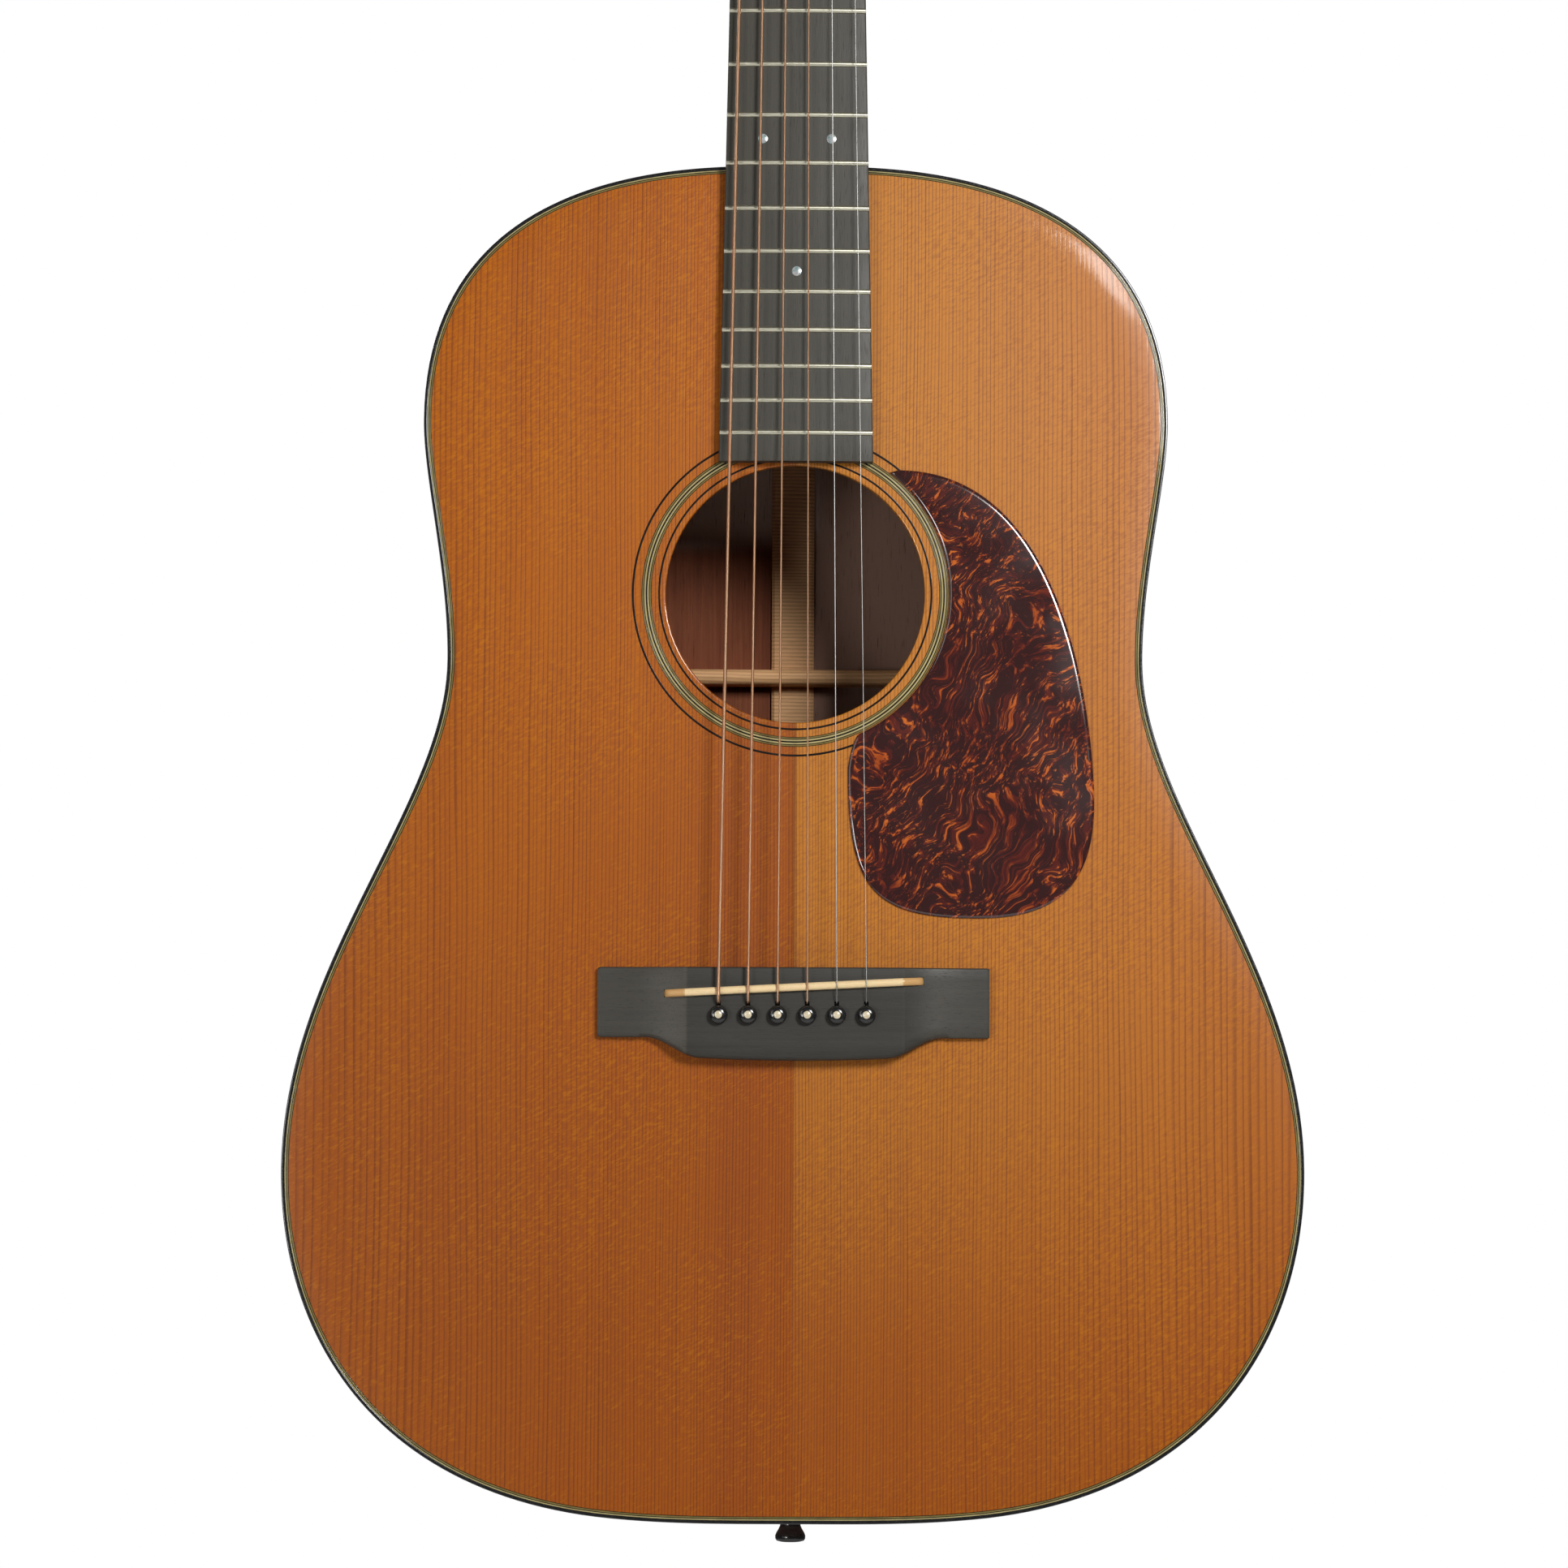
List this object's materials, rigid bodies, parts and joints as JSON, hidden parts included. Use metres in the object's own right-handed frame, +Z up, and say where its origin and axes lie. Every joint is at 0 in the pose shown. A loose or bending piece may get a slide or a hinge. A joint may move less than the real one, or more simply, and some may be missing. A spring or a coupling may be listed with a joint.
{
  "type": "acoustic guitar",
  "caption": "Large-bodied flat-top steel-string acoustic guitar with sloping shoulders, twelve frets clear of the body, belly bridge, tortoise pickguard and slotted headstock.",
  "frame": {"origin": "centre of the end pin's outer face, on the body's centreline at half the tail's depth", "axes": "+Z up the neck, -Y out of the soundboard, +X towards the treble side"},
  "size_m": [0.3978, 0.1369, 1.0527],
  "materials": {
    "spruce_top": "amber-aged spruce under clear gloss lacquer",
    "brace_spruce": "bare sanded spruce",
    "mahogany": "reddish-brown mahogany under gloss lacquer",
    "block_wood": "bare mahogany and maple inside the body",
    "ebony": "oiled ebony",
    "black_plastic": "polished black celluloid",
    "rosette_inlay": "laminated cream, olive and black rings",
    "tortoise": "polished dark tortoise",
    "bone": "polished aged bone",
    "bronze_wound": "bronze-wound wire",
    "plain_steel": "plain drawn steel",
    "nickel": "polished nickel plate"
  },
  "bodies": {
    "guitar": {"soundboard": "spruce_top", "top_lining_bass": "brace_spruce", "top_lining_treble": "brace_spruce", "back_lining_bass": "brace_spruce", "back_lining_treble": "brace_spruce", "x_brace_bass_leg": "brace_spruce", "x_brace_treble_leg": "brace_spruce", "top_cross_brace": "brace_spruce", "tone_bar_upper": "brace_spruce", "tone_bar_lower": "brace_spruce", "back_brace_1": "brace_spruce", "back_brace_2": "brace_spruce", "back_brace_3": "brace_spruce", "back_brace_4": "brace_spruce", "back_centre_strip": "brace_spruce", "back": "mahogany", "side_bass": "mahogany", "side_treble": "mahogany", "neck": "mahogany", "neck_block": "block_wood", "tail_block": "block_wood", "bridge_plate": "block_wood", "fingerboard": "ebony", "bridge": "ebony", "head_veneer": "ebony", "top_binding": "black_plastic", "back_binding": "black_plastic", "heel_cap": "black_plastic", "end_pin": "black_plastic", "bridge_pin_1": "black_plastic", "bridge_pin_2": "black_plastic", "bridge_pin_3": "black_plastic", "bridge_pin_4": "black_plastic", "bridge_pin_5": "black_plastic", "bridge_pin_6": "black_plastic", "rosette": "rosette_inlay", "pickguard": "tortoise", "saddle": "bone", "nut": "bone", "string_1": "bronze_wound", "string_2": "bronze_wound", "string_3": "bronze_wound", "string_4": "bronze_wound", "string_5": "plain_steel", "string_6": "plain_steel", "truss_rod": "plain_steel", "tuner_plate_bass": "nickel", "tuner_plate_treble": "nickel"},
    "tuner_1": {"tuner_shaft_1": "nickel"},
    "roller_1": {"string_roller_1": "nickel"},
    "tuner_2": {"tuner_shaft_2": "nickel"},
    "roller_2": {"string_roller_2": "nickel"},
    "tuner_3": {"tuner_shaft_3": "nickel"},
    "roller_3": {"string_roller_3": "nickel"},
    "tuner_4": {"tuner_shaft_4": "nickel"},
    "roller_4": {"string_roller_4": "nickel"},
    "tuner_5": {"tuner_shaft_5": "nickel"},
    "roller_5": {"string_roller_5": "nickel"},
    "tuner_6": {"tuner_shaft_6": "nickel"},
    "roller_6": {"string_roller_6": "nickel"}
  },
  "joints": [
    {"name": "tuner_1_turn", "type": "hinge", "parent": "guitar", "child": "tuner_1", "pos_m": [-0.0413, -0.03992, 0.92257], "axis": [0, 0.9659, -0.2588], "continuous": true},
    {"name": "roller_1_turn", "type": "hinge", "parent": "guitar", "child": "roller_1", "pos_m": [-0.02, -0.03788, 0.93015], "axis": [1, 0, 0], "continuous": true},
    {"name": "tuner_2_turn", "type": "hinge", "parent": "guitar", "child": "tuner_2", "pos_m": [-0.0413, -0.03086, 0.95638], "axis": [0, 0.9659, -0.2588], "continuous": true},
    {"name": "roller_2_turn", "type": "hinge", "parent": "guitar", "child": "roller_2", "pos_m": [-0.02, -0.02883, 0.96396], "axis": [1, 0, 0], "continuous": true},
    {"name": "tuner_3_turn", "type": "hinge", "parent": "guitar", "child": "tuner_3", "pos_m": [-0.0413, -0.0218, 0.99018], "axis": [0, 0.9659, -0.2588], "continuous": true},
    {"name": "roller_3_turn", "type": "hinge", "parent": "guitar", "child": "roller_3", "pos_m": [-0.02, -0.01977, 0.99777], "axis": [1, 0, 0], "continuous": true},
    {"name": "tuner_4_turn", "type": "hinge", "parent": "guitar", "child": "tuner_4", "pos_m": [0.0413, -0.0218, 0.99018], "axis": [0, 0.9659, -0.2588], "continuous": true},
    {"name": "roller_4_turn", "type": "hinge", "parent": "guitar", "child": "roller_4", "pos_m": [0.02, -0.01977, 0.99777], "axis": [1, 0, 0], "continuous": true},
    {"name": "tuner_5_turn", "type": "hinge", "parent": "guitar", "child": "tuner_5", "pos_m": [0.0413, -0.03086, 0.95638], "axis": [0, 0.9659, -0.2588], "continuous": true},
    {"name": "roller_5_turn", "type": "hinge", "parent": "guitar", "child": "roller_5", "pos_m": [0.02, -0.02883, 0.96396], "axis": [1, 0, 0], "continuous": true},
    {"name": "tuner_6_turn", "type": "hinge", "parent": "guitar", "child": "tuner_6", "pos_m": [0.0413, -0.03992, 0.92257], "axis": [0, 0.9659, -0.2588], "continuous": true},
    {"name": "roller_6_turn", "type": "hinge", "parent": "guitar", "child": "roller_6", "pos_m": [0.02, -0.03788, 0.93015], "axis": [1, 0, 0], "continuous": true}
  ],
  "couplings": [
    {"joint": "roller_1_turn", "follows": "tuner_1_turn", "ratio": -0.071429},
    {"joint": "roller_2_turn", "follows": "tuner_2_turn", "ratio": -0.071429},
    {"joint": "roller_3_turn", "follows": "tuner_3_turn", "ratio": -0.071429},
    {"joint": "roller_4_turn", "follows": "tuner_4_turn", "ratio": -0.071429},
    {"joint": "roller_5_turn", "follows": "tuner_5_turn", "ratio": -0.071429},
    {"joint": "roller_6_turn", "follows": "tuner_6_turn", "ratio": -0.071429}
  ]
}
